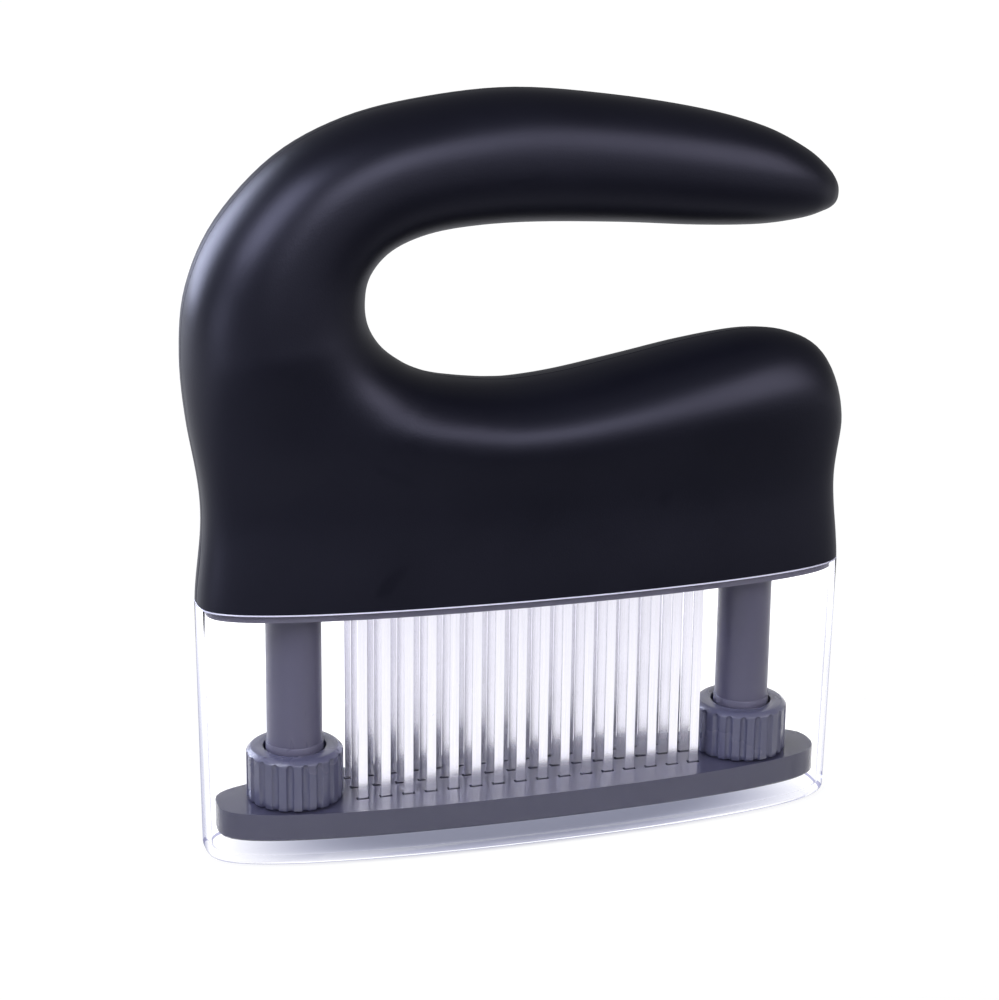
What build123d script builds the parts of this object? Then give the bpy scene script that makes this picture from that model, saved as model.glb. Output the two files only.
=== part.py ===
"""Blade meat tenderizer: C handle, sprung foot plate on two posts, clear cover.

Millimetres. +Z up, +X towards the handle's open end, the front faces -Y.
The origin is the centre of the cover's underside, on which the tool stands.
"""
from build123d import *
from math import cos, pi, sin, sqrt
import os

# Cover: a clear cup that the skirt plugs into
cover_length = 149.2
cover_depth = 34.8
cover_height = 58.2
cover_wall = 1.3
cover_floor = 1.8
cover_draft = 0.7
cover_edge_radius = 1.6

# Plan outline shared by cover, skirt and rim: |x/a|^end_power + |y/b|^side_power = 1
end_power = 2.0
side_power = 3.2

# Handle: heights are above the rim, which is the cover's top edge
shell_seat_wall = 2.0
body_hollow_inset = 4.3
body_hollow_depth_inset = 3.4
well_radius = 8.6
waist_height = 19.0
waist_pinch = 1.7
bulge_height = 40.0
bulge_depth = 37.6
left_bulge_height = 54.0
left_bulge_reach = 2.6
right_bulge_height = 34.0

# Housing base: skirt, flange and the two post guides
skirt_drop = 2.2
cover_gap = 0.25
seat_gap = 0.1
flange_height = 4.0
guide_wall = 2.6
guide_height = 8.6

# Posts and stop rings
post_spacing = 106.7
post_diameter = 12.3
post_bore = 8.2
post_floor = 6.0
post_flange_diameter = 16.4
post_flange_height = 2.0
post_collar_diameter = 12.8
post_collar_reach = 1.3
post_top_margin = 1.4
running_gap = 0.08
stop_ring_diameter = 15.4
stop_ring_height = 1.4
stop_groove_depth = 1.0
stop_ring_gap = 0.05
foot_travel = 30.0

# Springs and the guides that they push against
spring_wire = 0.9
spring_gap = 0.4
spring_turns = 20
travel_margin = 0.6
guide_rod_diameter = 4.4
guide_rod_length = 44.0
guide_head_diameter = 12.0
guide_head_height = 2.0
guide_stub_diameter = 4.0
guide_stub_height = 2.0
shelf_height = 6.0
shelf_half_width = 8.5

# Foot plate
foot_length = 142.2
foot_depth = 28.6
foot_bottom = 4.9
foot_height = 6.6
foot_fall = 0.5
foot_edge = 0.4
foot_socket_depth = 4.5

# Nuts, the threaded spigots under them and the washers inside them
nut_diameter = 21.5
nut_height = 11.85
nut_grooves = 20
nut_groove_radius = 0.95
nut_groove_depth = 0.6
nut_plain_rim = 0.8
nut_mouth_gap = 0.85
nut_rim_chamfer = 1.0
spigot_diameter = 17.0
spigot_height = 5.4
washer_height = 0.8
washer_gap = 0.15
face_gap = 0.05

# Blades
blade_columns = 16
blade_pitch = 5.25
row_spacing = 6.1
blade_width = 2.2
blade_thickness = 0.6
blade_bottom = 6.6
blade_tip_height = 2.4
blade_head_width = 3.6
blade_head_height = 1.4
slot_gap = 0.35

# Blade holder and clamp plate
holder_gap = 0.06
holder_drop = 1.0
holder_height = 14.0
holder_margin = 1.7
clamp_height = 3.0
pillar_diameter = 5.6
pillar_overlap = 0.8
pillar_spacing = 44.0
well_gap = 0.1

# Screws
clamp_screw_diameter = 2.5
clamp_screw_grip = 4.8
base_screw_diameter = 2.5
base_screw_spacing = 76.0
base_screw_depth_spacing = 23.2
base_screw_grip = 9.0
base_head_recess = 1.9
shell_screw_diameter = 2.8
shell_screw_grip = 6.0
shell_head_seat = 4.0
head_ratio = 1.85
head_height = 1.6
head_gap = 0.2
screw_gap = 0.06
boss_wall = 1.9
base_boss_height = 14.0

# Places of the screws that join the two shells: x, height above the rim
shell_screw_places = [(38, 90.5), (-44, 85.5), (-57, 62), (0, 33), (68.5, 26), (-69, 23)]

os.makedirs("parts", exist_ok=True)

half_rim = cover_length / 2
rim_z = cover_height
skirt_z = rim_z - skirt_drop
flange_z = rim_z + flange_height
post_x = post_spacing / 2
post_radius = post_diameter / 2
foot_top = foot_bottom + foot_height
spigot_z = foot_top + spigot_height
post_flange_z = spigot_z + post_flange_height
post_bottom = foot_top - foot_socket_depth
nut_high = foot_top + nut_height
guide_z = flange_z + guide_height
ring_z = guide_z + stop_ring_height
post_top = ring_z + post_top_margin
spring_low = post_bottom + post_floor
spring_high = post_top + foot_travel + travel_margin
shelf_z = spring_high + guide_head_height
holder_low = rim_z - holder_drop
holder_high = holder_low + holder_height
clamp_high = holder_high + clamp_height
row_offsets = [-row_spacing, 0.0, row_spacing]
column_offsets = [(i - (blade_columns - 1) / 2) * blade_pitch for i in range(blade_columns)]
holder_half_length = column_offsets[-1] + blade_head_width / 2 + holder_margin
holder_half_depth = row_spacing + blade_thickness / 2 + holder_margin
pillar_y = holder_half_depth + pillar_diameter / 2 - pillar_overlap
pillar_places = [(sx * pillar_spacing / 2, sy * pillar_y) for sx in (-1, 1) for sy in (-1, 1)]
base_screw_places = [
    (sx * base_screw_spacing / 2, sy * base_screw_depth_spacing / 2)
    for sx in (-1, 1) for sy in (-1, 1)
]


def save(node, shape):
    """Write one piece to its own file."""
    export_step(shape, f"parts/{node}.step")


def power(base, exponent):
    """A power that keeps the base's sign."""
    return abs(base) ** exponent * (1 if base >= 0 else -1)


def spaced_points(points, shares):
    """Points at the given shares of the length of a finely drawn line."""
    reach = [0.0]
    for before, after in zip(points, points[1:]):
        reach.append(reach[-1] + (after - before).length)
    chosen, index = [points[0]], 0
    for share in shares[1:-1]:
        target = reach[-1] * share
        while reach[index + 1] < target:
            index += 1
        part = (target - reach[index]) / (reach[index + 1] - reach[index])
        chosen.append(points[index] + (points[index + 1] - points[index]) * part)
    return chosen + [points[-1]]


def plan_wire(half_length, half_depth, z, count=60, fine=480):
    """The barrel-shaped plan outline at one height."""
    points = []
    for step in range(fine + 1):
        angle = 2 * pi * step / fine
        x = half_length * power(cos(angle), 2 / end_power)
        y = half_depth * power(sin(angle), 2 / side_power)
        points.append(Vector(x, y, z))
    shares = [step / count for step in range(count + 1)]
    return Wire([Edge.make_spline(spaced_points(points, shares)[:-1], periodic=True)])


def plan_block(half_length, half_depth, levels):
    """A block with the plan outline; each level is a height and the outline's inset there."""
    wires = [plan_wire(half_length - inset, half_depth - inset, z) for z, inset in levels]
    return Solid.make_loft(wires, ruled=True)


def post(x, y, z_low, z_high, radius):
    """An upright cylinder between two heights."""
    return Solid.make_cylinder(radius, z_high - z_low, Plane(origin=(x, y, z_low)))


def cross_pin(x, z, y_low, y_high, radius):
    """A cylinder along Y between two depths."""
    place = Plane(origin=(x, y_low, z), z_dir=(0, 1, 0))
    return Solid.make_cylinder(radius, y_high - y_low, place)


def block(x_low, x_high, y_low, y_high, z_low, z_high):
    """A box between its six faces."""
    centre = ((x_low + x_high) / 2, (y_low + y_high) / 2, (z_low + z_high) / 2)
    return Pos(*centre) * Solid.make_box(
        x_high - x_low, y_high - y_low, z_high - z_low,
        Plane(origin=(-(x_high - x_low) / 2, -(y_high - y_low) / 2, -(z_high - z_low) / 2)),
    )


def ease(value, start, end):
    """A smooth step from 0 at start to 1 at end."""
    share = min(max((value - start) / (end - start), 0), 1)
    return share * share * (3 - 2 * share)


# Handle form: sections from the arm's tip, round the C and down into the lower body.
# Each runs from a point on the inner outline to one on the outer outline, as x and height
# above the rim. An arm section adds its half depth. A body section adds the share of the
# barrel form in it and the rounding at its two ends. It passes below the rim, where the
# handle is cut off.
def side_reach(height, left):
    """How far the lower body reaches sideways at a height above the rim."""
    top, extra = (left_bulge_height, left_bulge_reach) if left else (right_bulge_height, -0.5)
    flare = ease(height, waist_height, -2)
    swell = ease(height, waist_height, top)
    return half_rim - waist_pinch * (1 - flare) * (1 - swell) + extra * swell


def left_edge(height):
    """The point of the lower body's left edge at a height."""
    return -side_reach(height, True), height


def right_edge(height):
    """The point of the lower body's right edge at a height."""
    return side_reach(height, False), height


arm_sections = [
    (71.1, 83.6, 71.2, 84.7, 0.6),
    (70.6, 82.0, 70.8, 86.3, 2.9),
    (69.4, 80.9, 69.9, 88.1, 4.9),
    (66.9, 80.0, 67.5, 90.8, 7.4),
    (61.5, 78.7, 62.6, 94.6, 10.1),
    (51.5, 77.8, 53.2, 99.3, 12.4),
    (37.0, 78.2, 39.0, 103.3, 13.9),
    (19.0, 79.5, 19.0, 106.7, 14.5),
    (0.0, 80.3, -3.5, 108.8, 14.8),
    (-13.7, 80.0, -23.4, 107.2, 15.2),
    (-24.2, 78.6, -40.8, 103.3, 15.8),
    (-32.1, 75.5, -56.0, 95.5, 16.5),
    (-36.6, 70.7, -68.6, 82.4, 17.2),
    (-37.8, 65.0, -75.1, 68.5, 17.8),
    (-36.9, 59.4, -76.7, 54.0, 18.2),
]
body_sections = [
    (-33.6, 54.3, *left_edge(38.4), 0.55, 16.0, 0.0),
    (-28.6, 50.4, *left_edge(24.0), 0.85, 16.0, 0.0),
    (-24.0, 48.2, *left_edge(12.0), 1.0, 16.0, 0.0),
    (-20.0, 47.1, *left_edge(1.0), 1.0, 16.0, 0.0),
    (-16.4, 46.5, *left_edge(-10.0), 1.0, 16.0, 0.0),
    (-12.6, 46.0, -74.2, -22.0, 1.0, 16.0, 4.0),
    (-8.0, 45.6, -69.0, -36.0, 1.0, 16.0, 12.0),
    (-2.0, 45.6, -55.0, -46.0, 1.0, 16.0, 18.0),
    (8.0, 46.7, -30.0, -51.0, 1.0, 16.0, 20.0),
    (22.0, 49.3, 0.0, -52.0, 1.0, 16.0, 20.0),
    (37.0, 52.2, 25.0, -51.0, 1.0, 16.0, 20.0),
    (51.0, 53.9, 42.0, -48.0, 1.0, 16.0, 20.0),
    (61.5, 52.6, 52.0, -44.0, 1.0, 14.0, 18.0),
    (69.0, 48.2, 58.0, -40.0, 1.0, 11.0, 16.0),
    (side_reach(38.8, False) - 0.6, 38.8, 62.0, -37.0, 1.0, 7.0, 14.0),
    (*right_edge(29.0), 64.5, -35.0, 1.0, 3.0, 12.0),
    (*right_edge(19.0), 66.0, -33.5, 1.0, 3.0, 12.0),
    (*right_edge(6.0), 67.5, -32.0, 1.0, 3.0, 12.0),
    (*right_edge(-6.0), 69.0, -30.0, 1.0, 3.0, 12.0),
]

section_parts = 2

# Pockets in the arm and the C's back: first and last section, inset from the outline,
# half depth
arm_pockets = [(5, 17, 4.5, 8.5), (8, 17, 8.5, 12.0)]
# Rise of the lower body's hollow above the rim, and how far it has closed in by then
body_hollow_levels = [(31.0, 0.0), (36.0, 3.0), (40.0, 7.0)]


def body_half_depth(height):
    """Half depth of the lower body's middle at a height above the rim."""
    rim_half = cover_depth / 2
    flare = ease(height, waist_height, -2)
    swell = ease(height, waist_height, bulge_height)
    pinch = waist_pinch / 2 * (1 - flare) * (1 - swell)
    return rim_half - pinch + (bulge_depth / 2 - rim_half) * swell


def barrel_depth(x, height):
    """Half depth of the barrel-shaped lower body at a point."""
    share = min(abs(x) / side_reach(height, x < 0), 1)
    return body_half_depth(height) * (1 - share ** end_power) ** (1 / side_power)


def edge_cap(distance, radius):
    """Rounding of an edge: 0 on the outline, 1 once the radius is passed."""
    if radius == 0:
        return 1
    share = min(max(distance / radius, 0), 1)
    return sqrt(1 - (1 - share) ** 2)


def section_depth(row, along, length, x, height):
    """Half depth of a section at a distance along it from the inner outline."""
    half, barrel, top, low = row[4:]
    round_depth = half * (1 - abs(1 - 2 * along / length) ** 2.3) ** (1 / 2.2)
    caps = edge_cap(along, top) * edge_cap(length - along, low)
    return (1 - barrel) * round_depth + barrel * barrel_depth(x, height) * caps


def smooth_rows(rows, parts):
    """The sections with others blended in between them, so that the form runs smoothly."""
    rows = [(*row, 0.0, 16.0, 0.0) if len(row) == 5 else (*row[:4], bulge_depth / 2, *row[4:])
            for row in rows]
    ends = [rows[0], *rows, rows[-1]]
    blended = [rows[0]]
    for before, start, end, after in zip(ends, ends[1:], ends[2:], ends[3:]):
        for step in range(1, parts + 1):
            t = step / parts
            weights = (
                (-t ** 3 + 2 * t ** 2 - t) / 2, (3 * t ** 3 - 5 * t ** 2 + 2) / 2,
                (-3 * t ** 3 + 4 * t ** 2 + t) / 2, (t ** 3 - t ** 2) / 2,
            )
            sides = zip(before, start, end, after)
            row = [sum(w * v for w, v in zip(weights, values)) for values in sides]
            blended.append((*row[:5], min(max(row[5], 0), 1), row[6], max(row[7], 0)))
    return blended


def half_section(row, side, count=16, fine=160):
    """One half section as a closed wire, on the side -1 for the front or 1 for the rear."""
    x_in, h_in, x_out, h_out = row[:4]
    length = sqrt((x_out - x_in) ** 2 + (h_out - h_in) ** 2)
    step_x, step_h = (x_out - x_in) / length, (h_out - h_in) / length
    points = []
    for index in range(fine + 1):
        along = length * (1 - cos(pi * index / fine)) / 2
        x, height = x_in + step_x * along, h_in + step_h * along
        depth = 0 if index in (0, fine) else section_depth(row, along, length, x, height)
        points.append(Vector(x, side * depth, rim_z + height))
    steps = [index / count for index in range(count + 1)]
    shares = [0.3 * step + 0.35 * (1 - cos(pi * step)) for step in steps]
    points = spaced_points(points, shares)
    square = Vector(0, side, 0)
    curve = Edge.make_spline(points, tangents=[square, square * -1], parameters=shares)
    return Wire([curve, Edge.make_line(points[-1], points[0])])


def handle_half(side):
    """Half of the handle's form as a loft through its sections, cut off at the rim."""
    rows = smooth_rows([*arm_sections, *body_sections], section_parts)
    form = Solid.make_loft([half_section(row, side) for row in rows], ruled=True)
    return form - block(-100, 100, -40, 40, rim_z - 80, rim_z)


def arm_pocket(first, last, inset, half_depth):
    """A flat-sided pocket that follows the arm, inset from its outline."""
    inner, outer = [], []
    for x_in, h_in, x_out, h_out, *_ in [*arm_sections, *body_sections][first:last + 1]:
        share = inset / sqrt((x_out - x_in) ** 2 + (h_out - h_in) ** 2)
        step = Vector(x_out - x_in, 0, h_out - h_in) * share
        inner.append(Vector(x_in, -half_depth, rim_z + h_in) + step)
        outer.append(Vector(x_out, -half_depth, rim_z + h_out) - step)
    outline = Wire([
        Edge.make_spline(inner), Edge.make_line(inner[-1], outer[-1]),
        Edge.make_spline(outer[::-1]), Edge.make_line(outer[0], inner[0]),
    ])
    return Solid.extrude(Face(outline), Vector(0, 2 * half_depth, 0))


def handle_hollow(boss):
    """The room inside the handle, less the screw bosses and the spring shelves."""
    levels = [(flange_z - 2, 0)] + [(rim_z + rise, inset) for rise, inset in body_hollow_levels]
    hollow = plan_block(
        half_rim - body_hollow_inset, cover_depth / 2 - body_hollow_depth_inset, levels
    )
    for pocket in arm_pockets:
        hollow += arm_pocket(*pocket)
    for x in (-post_x, post_x):
        shelf_top = shelf_z + shelf_height
        hollow -= block(x - shelf_half_width, x + shelf_half_width, -30, 30, shelf_z, shelf_top)
        hollow += post(x, 0, flange_z - 2, shelf_z, well_radius)
    for x, height in shell_screw_places:
        hollow -= cross_pin(x, rim_z + height, -30, 30, boss)
    base_boss = base_screw_diameter / 2 + boss_wall
    for x, y in base_screw_places:
        hollow -= post(x, y, flange_z - 3, flange_z + base_boss_height, base_boss)
    return hollow


def handle_shell(side):
    """One handle shell with its screw bosses, spring shelves and base bosses."""
    shank = shell_screw_diameter / 2
    head = shank * head_ratio
    boss = shank + boss_wall if side < 0 else head + head_gap + boss_wall
    shell = handle_half(side) - handle_hollow(boss)
    seat = half_rim - shell_seat_wall, cover_depth / 2 - shell_seat_wall
    shell -= plan_block(*seat, [(rim_z - 1, 0), (flange_z, 0)])
    for x in (-post_x, post_x):
        stub = guide_stub_diameter / 2 + screw_gap
        shell -= post(x, 0, shelf_z - 1, shelf_z + guide_stub_height + seat_gap, stub)
    for x, y in base_screw_places:
        depth = base_screw_grip + 1
        shell -= post(x, y, flange_z - 1, flange_z + depth, base_screw_diameter / 2 + screw_gap)
    for x, height in shell_screw_places:
        z = rim_z + height
        if side < 0:
            shell -= cross_pin(x, z, -shell_screw_grip - 0.4, 1, shank + screw_gap)
        else:
            shell -= cross_pin(x, z, -1, shell_head_seat + 1, shank + screw_gap)
            shell -= cross_pin(x, z, shell_head_seat, 30, head + head_gap)
    return shell


def screw(radius, length):
    """A pan-head screw, head on top, its shank pointing down from the origin."""
    shank = post(0, 0, -length, 0.01, radius)
    head = post(0, 0, 0, head_height, radius * head_ratio)
    head = head.fillet(head_height * 0.45, [head.edges().sort_by(Axis.Z)[-1]])
    slot = block(-radius * 1.2, radius * 1.2, -0.3, 0.3, head_height - 0.7, head_height + 1)
    cross = block(-0.3, 0.3, -radius * 1.2, radius * 1.2, head_height - 0.7, head_height + 1)
    return (head + shank) - slot - cross


def group(shapes):
    """Separate solids that share one node."""
    return Compound(children=list(shapes))


def shell_screws():
    """Screws from the back that join the two shells."""
    length = shell_head_seat + shell_screw_grip
    one = screw(shell_screw_diameter / 2, length)
    places = [(x, shell_head_seat, rim_z + height) for x, height in shell_screw_places]
    return group(Pos(*place) * Rot(-90, 0, 0) * one for place in places)


def base_screws():
    """Screws from below that hold the housing base to the shells."""
    seat = skirt_z + base_head_recess
    one = screw(base_screw_diameter / 2, flange_z + base_screw_grip - seat)
    return group(Pos(x, y, seat) * Rot(180, 0, 0) * one for x, y in base_screw_places)


def clamp_screws():
    """Screws through the clamp plate and the holder's pillars into the base."""
    one = screw(clamp_screw_diameter / 2, clamp_high - flange_z + clamp_screw_grip)
    return group(Pos(x, y, clamp_high) * one for x, y in pillar_places)


def housing_base():
    """The skirt that closes the handle, with the post guides and the blade well."""
    skirt_inset = cover_wall + cover_gap
    base = plan_block(
        half_rim - skirt_inset, cover_depth / 2 - skirt_inset, [(skirt_z, 0), (rim_z, 0)]
    )
    flange_inset = shell_seat_wall + seat_gap
    base += plan_block(
        half_rim - flange_inset, cover_depth / 2 - flange_inset, [(rim_z, 0), (flange_z, 0)]
    )
    bore = post_radius + running_gap
    for x in (-post_x, post_x):
        base += post(x, 0, rim_z, guide_z, bore + guide_wall)
    for x in (-post_x, post_x):
        base -= post(x, 0, skirt_z - 1, guide_z + 1, bore)
    reach_x, reach_y = holder_half_length + well_gap, holder_half_depth + well_gap
    base -= block(-reach_x, reach_x, -reach_y, reach_y, skirt_z - 1, flange_z + 1)
    hole = clamp_screw_diameter / 2 + screw_gap
    for x, y in pillar_places:
        base -= post(x, y, flange_z - clamp_screw_grip - 0.3, flange_z + 1, hole)
    hole = base_screw_diameter / 2 + screw_gap
    head = base_screw_diameter / 2 * head_ratio + head_gap
    for x, y in base_screw_places:
        base -= post(x, y, skirt_z - 1, flange_z + 1, hole)
        base -= post(x, y, skirt_z - 1, skirt_z + base_head_recess, head)
    return base


def blade_holder():
    """The slotted block that carries the blades, on four pillars over the base."""
    reach_x, reach_y = holder_half_length, holder_half_depth
    holder = block(-reach_x, reach_x, -reach_y, reach_y, holder_low, holder_high)
    for x, y in pillar_places:
        holder += post(x, y, flange_z, holder_high, pillar_diameter / 2)
    for x, y in pillar_places:
        hole = clamp_screw_diameter / 2 + screw_gap
        holder -= post(x, y, flange_z - 1, holder_high + 1, hole)
    cuts = []
    half_width = blade_width / 2 + holder_gap
    half_head = blade_head_width / 2 + holder_gap
    half_thick = blade_thickness / 2 + holder_gap
    head_low = holder_high - blade_head_height
    for y in row_offsets:
        for x in column_offsets:
            cuts.append(block(x - half_width, x + half_width, y - half_thick, y + half_thick,
                              holder_low - 1, holder_high))
            cuts.append(block(x - half_head, x + half_head, y - half_thick, y + half_thick,
                              head_low, holder_high + 1))
    return holder.cut(*cuts)


def blade_clamp_plate():
    """The plate that holds the blade heads down in the holder."""
    reach_x, reach_y = holder_half_length, holder_half_depth
    plate = block(-reach_x, reach_x, -reach_y, reach_y, holder_high, clamp_high)
    for x, y in pillar_places:
        plate += post(x, y, holder_high, clamp_high, pillar_diameter / 2)
    hole = clamp_screw_diameter / 2 + screw_gap
    for x, y in pillar_places:
        plate -= post(x, y, holder_high - 1, clamp_high + 1, hole)
    return plate


def blade(x, y):
    """One blade: a narrow strip with a wider head and a chisel tip ground on both faces."""
    half_width, half_head = blade_width / 2, blade_head_width / 2
    head_low = holder_high - blade_head_height
    outline = Wire.make_polygon([
        Vector(x - half_width, 0, blade_bottom + blade_width * 0.35),
        Vector(x + half_width, 0, blade_bottom),
        Vector(x + half_width, 0, head_low),
        Vector(x + half_head, 0, head_low),
        Vector(x + half_head, 0, holder_high),
        Vector(x - half_head, 0, holder_high),
        Vector(x - half_head, 0, head_low),
        Vector(x - half_width, 0, head_low),
    ], close=True)
    half_thick = blade_thickness / 2
    strip = Solid.extrude(Face(outline).moved(Location((0, y - half_thick, 0))),
                          Vector(0, blade_thickness, 0))
    tip_top = blade_bottom + blade_tip_height
    for side in (-1, 1):
        face_y = y + side * half_thick
        edge_y = y + side * blade_thickness * 0.08
        wedge = Wire.make_polygon([
            Vector(x - half_width - 1, face_y, tip_top),
            Vector(x - half_width - 1, face_y + side * 0.5, tip_top),
            Vector(x - half_width - 1, face_y + side * 0.5, blade_bottom - 0.5),
            Vector(x - half_width - 1, edge_y, blade_bottom - 0.5),
        ], close=True)
        strip -= Solid.extrude(Face(wedge), Vector(blade_width + 2, 0, 0))
    return strip


def post_tube(x):
    """A hollow post: closed foot, flange for the nut, collar in its mouth, ring groove."""
    tube = post(x, 0, post_bottom, post_top, post_radius)
    tube += post(x, 0, nut_high - post_collar_reach, nut_high + post_collar_reach,
                 post_collar_diameter / 2)
    tube += post(x, 0, spigot_z, post_flange_z, post_flange_diameter / 2)
    tube -= post(x, 0, spring_low, post_top + 1, post_bore / 2)
    groove = post(x, 0, guide_z, ring_z, post_radius + 1)
    groove -= post(x, 0, guide_z, ring_z, post_radius - stop_groove_depth)
    return tube - groove


def stop_ring(x):
    """The split ring in the post's top groove, which lands on the guide."""
    inner = post_radius - stop_groove_depth + stop_ring_gap
    low, high = guide_z, ring_z - face_gap
    ring = post(x, 0, low, high, stop_ring_diameter / 2) - post(x, 0, low, high, inner)
    return ring - block(x - 20, x, -inner * 0.55, inner * 0.55, low, high)


def spring(x):
    """A compression spring inside the post, from its floor to the spring guide."""
    radius = post_bore / 2 - spring_gap - spring_wire / 2
    low, high = spring_low + spring_wire / 2 + face_gap, spring_high - spring_wire / 2 - face_gap
    path = Helix(pitch=(high - low) / spring_turns, height=high - low, radius=radius)
    start = Plane(origin=path @ 0, z_dir=path % 0)
    wire = sweep(start * Circle(spring_wire / 2), path=path)
    return Pos(x, 0, low) * wire.solid()


def spring_guide(x):
    """The seat that a spring pushes against, with the rod that keeps the spring straight."""
    guide = post(x, 0, spring_high, shelf_z, guide_head_diameter / 2)
    guide += post(x, 0, shelf_z, shelf_z + guide_stub_height, guide_stub_diameter / 2)
    return guide + post(x, 0, spring_high - guide_rod_length, spring_high, guide_rod_diameter / 2)


def foot_plate():
    """The foot: a barrel-shaped plate with blade slots and a spigot for each post."""
    levels = [(foot_bottom, foot_edge), (foot_bottom + foot_edge, 0), (foot_top, 0)]
    foot = plan_block(foot_length / 2, foot_depth / 2, levels)
    for side in (-1, 1):
        above = Wire.make_polygon([
            Vector(-foot_length, 0, foot_top),
            Vector(-foot_length, side * foot_depth, foot_top - 2 * foot_fall),
            Vector(-foot_length, side * foot_depth, foot_top + 1),
            Vector(-foot_length, 0, foot_top + 1),
        ], close=True)
        foot -= Solid.extrude(Face(above), Vector(2 * foot_length, 0, 0))
    for x in (-post_x, post_x):
        foot += post(x, 0, foot_top - 1, spigot_z, spigot_diameter / 2)
    for x in (-post_x, post_x):
        foot -= post(x, 0, post_bottom, spigot_z + 1, post_radius + face_gap)
    half_width = blade_width / 2 + slot_gap
    half_thick = blade_thickness / 2 + slot_gap
    slots = [
        block(x - half_width, x + half_width, y - half_thick, y + half_thick,
              foot_bottom - 1, foot_top + 1)
        for y in row_offsets for x in column_offsets
    ]
    return foot.cut(*slots)


def nut(x):
    """A ribbed union nut over the spigot, with a mouth round the post."""
    low = foot_top + face_gap
    high = nut_high
    inside = post_flange_z + face_gap + washer_height + face_gap
    body = post(x, 0, low, high, nut_diameter / 2)
    body = body.chamfer(nut_rim_chamfer, None, [body.edges().sort_by(Axis.Z)[-1]])
    body -= post(x, 0, low, inside, spigot_diameter / 2 + running_gap)
    body -= post(x, 0, low, high + 1, post_radius + nut_mouth_gap)
    reach = nut_diameter / 2 + nut_groove_radius - nut_groove_depth
    grooves = []
    for index in range(nut_grooves):
        angle = 2 * pi * index / nut_grooves
        place = x + reach * cos(angle), reach * sin(angle)
        grooves.append(post(*place, low - 1, high - nut_plain_rim, nut_groove_radius))
    return body.cut(*grooves)


def nut_washer(x):
    """The washer held inside the nut, over the post's flange."""
    low = post_flange_z + face_gap
    ring = post(x, 0, low, low + washer_height, spigot_diameter / 2 - washer_gap)
    return ring - post(x, 0, low, low + washer_height, post_radius + washer_gap)


def clear_cover():
    """The clear cup with a slight draft and a rounded bottom edge."""
    radius = cover_edge_radius
    arc = [0, pi / 8, pi / 4, 3 * pi / 8]
    outer = [(radius * (1 - cos(a)), cover_draft + radius * (1 - sin(a))) for a in arc]
    outer += [(radius, cover_draft), (cover_height, 0)]
    cup = plan_block(half_rim, cover_depth / 2, outer)
    inner_edge = radius - cover_wall / 2
    inner = [(cover_floor, cover_wall + cover_draft + inner_edge / 2)]
    inner += [(cover_floor + inner_edge, cover_wall + cover_draft), (cover_height + 1, cover_wall)]
    return cup - plan_block(half_rim, cover_depth / 2, inner)


save("front_handle_shell", handle_shell(-1))
save("rear_handle_shell", handle_shell(1))
save("shell_screws", shell_screws())
save("housing_base", housing_base())
save("base_screws", base_screws())
save("blade_holder", blade_holder())
save("blade_clamp_plate", blade_clamp_plate())
save("clamp_screws", clamp_screws())
for name, y in zip(("front", "middle", "rear"), row_offsets):
    save(f"{name}_blade_row", group(blade(x, y) for x in column_offsets))
for name, x in (("left", -post_x), ("right", post_x)):
    save(f"{name}_post", post_tube(x))
    save(f"{name}_stop_ring", stop_ring(x))
    save(f"{name}_spring", spring(x))
    save(f"{name}_spring_guide", spring_guide(x))
    save(f"{name}_nut", nut(x))
    save(f"{name}_nut_washer", nut_washer(x))
save("foot_plate", foot_plate())
save("clear_cover", clear_cover())
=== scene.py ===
"""Blade meat tenderizer in its clear cover, dressed piece by piece over its CAD frame."""
from math import cos, pi, radians, sin, sqrt

import bmesh
import bpy
from mathutils import Matrix, Vector


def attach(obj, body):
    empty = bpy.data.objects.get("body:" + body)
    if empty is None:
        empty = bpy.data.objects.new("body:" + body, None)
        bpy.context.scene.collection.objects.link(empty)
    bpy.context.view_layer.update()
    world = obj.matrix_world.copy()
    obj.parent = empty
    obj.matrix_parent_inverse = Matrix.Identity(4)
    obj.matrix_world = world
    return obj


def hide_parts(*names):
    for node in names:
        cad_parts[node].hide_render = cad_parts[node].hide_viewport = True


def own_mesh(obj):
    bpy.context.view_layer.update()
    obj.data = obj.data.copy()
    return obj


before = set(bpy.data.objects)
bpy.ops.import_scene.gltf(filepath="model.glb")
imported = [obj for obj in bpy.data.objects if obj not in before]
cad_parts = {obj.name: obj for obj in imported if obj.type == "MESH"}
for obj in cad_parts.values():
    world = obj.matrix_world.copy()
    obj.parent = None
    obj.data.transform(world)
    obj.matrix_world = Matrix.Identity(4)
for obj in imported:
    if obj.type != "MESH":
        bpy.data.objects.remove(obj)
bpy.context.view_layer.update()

# Handle shells: two halves moulded in satin black plastic, front and rear, that meet on the
# centre line. The lower body is barrel shaped, and its left end sweeps round into a thick
# arm that narrows to a rounded tip over the gap for the fingers.
mm = 0.001
rim_height = 58.2
rim_half_length = 74.6
rim_half_depth = 17.4
end_power = 2.0
side_power = 3.2
waist_height = 19.0
waist_pinch = 1.7
flare_low = -2.0
left_swell_top, left_swell = 54.0, 2.6
right_swell_top, right_swell = 34.0, -0.5
bulge_height = 40.0
bulge_half_depth = 18.8
arm_fullness, arm_roundness = 2.3, 2.2
seam_width = 0.16
seam_depth = 0.14
shell_lip = 2.0
shell_lip_rise = 4.0
screw_well_radius = 2.79
screw_well_floor = 4.0
screw_well_reach = 30.0
screw_places = [(38, 90.5), (-44, 85.5), (-57, 62), (0, 33), (68.5, 26), (-69, 23)]
drawn_steps = 240
half_points = 44
even_spacing = 0.55
blended_parts = 6
touching = 2e-6


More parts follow.
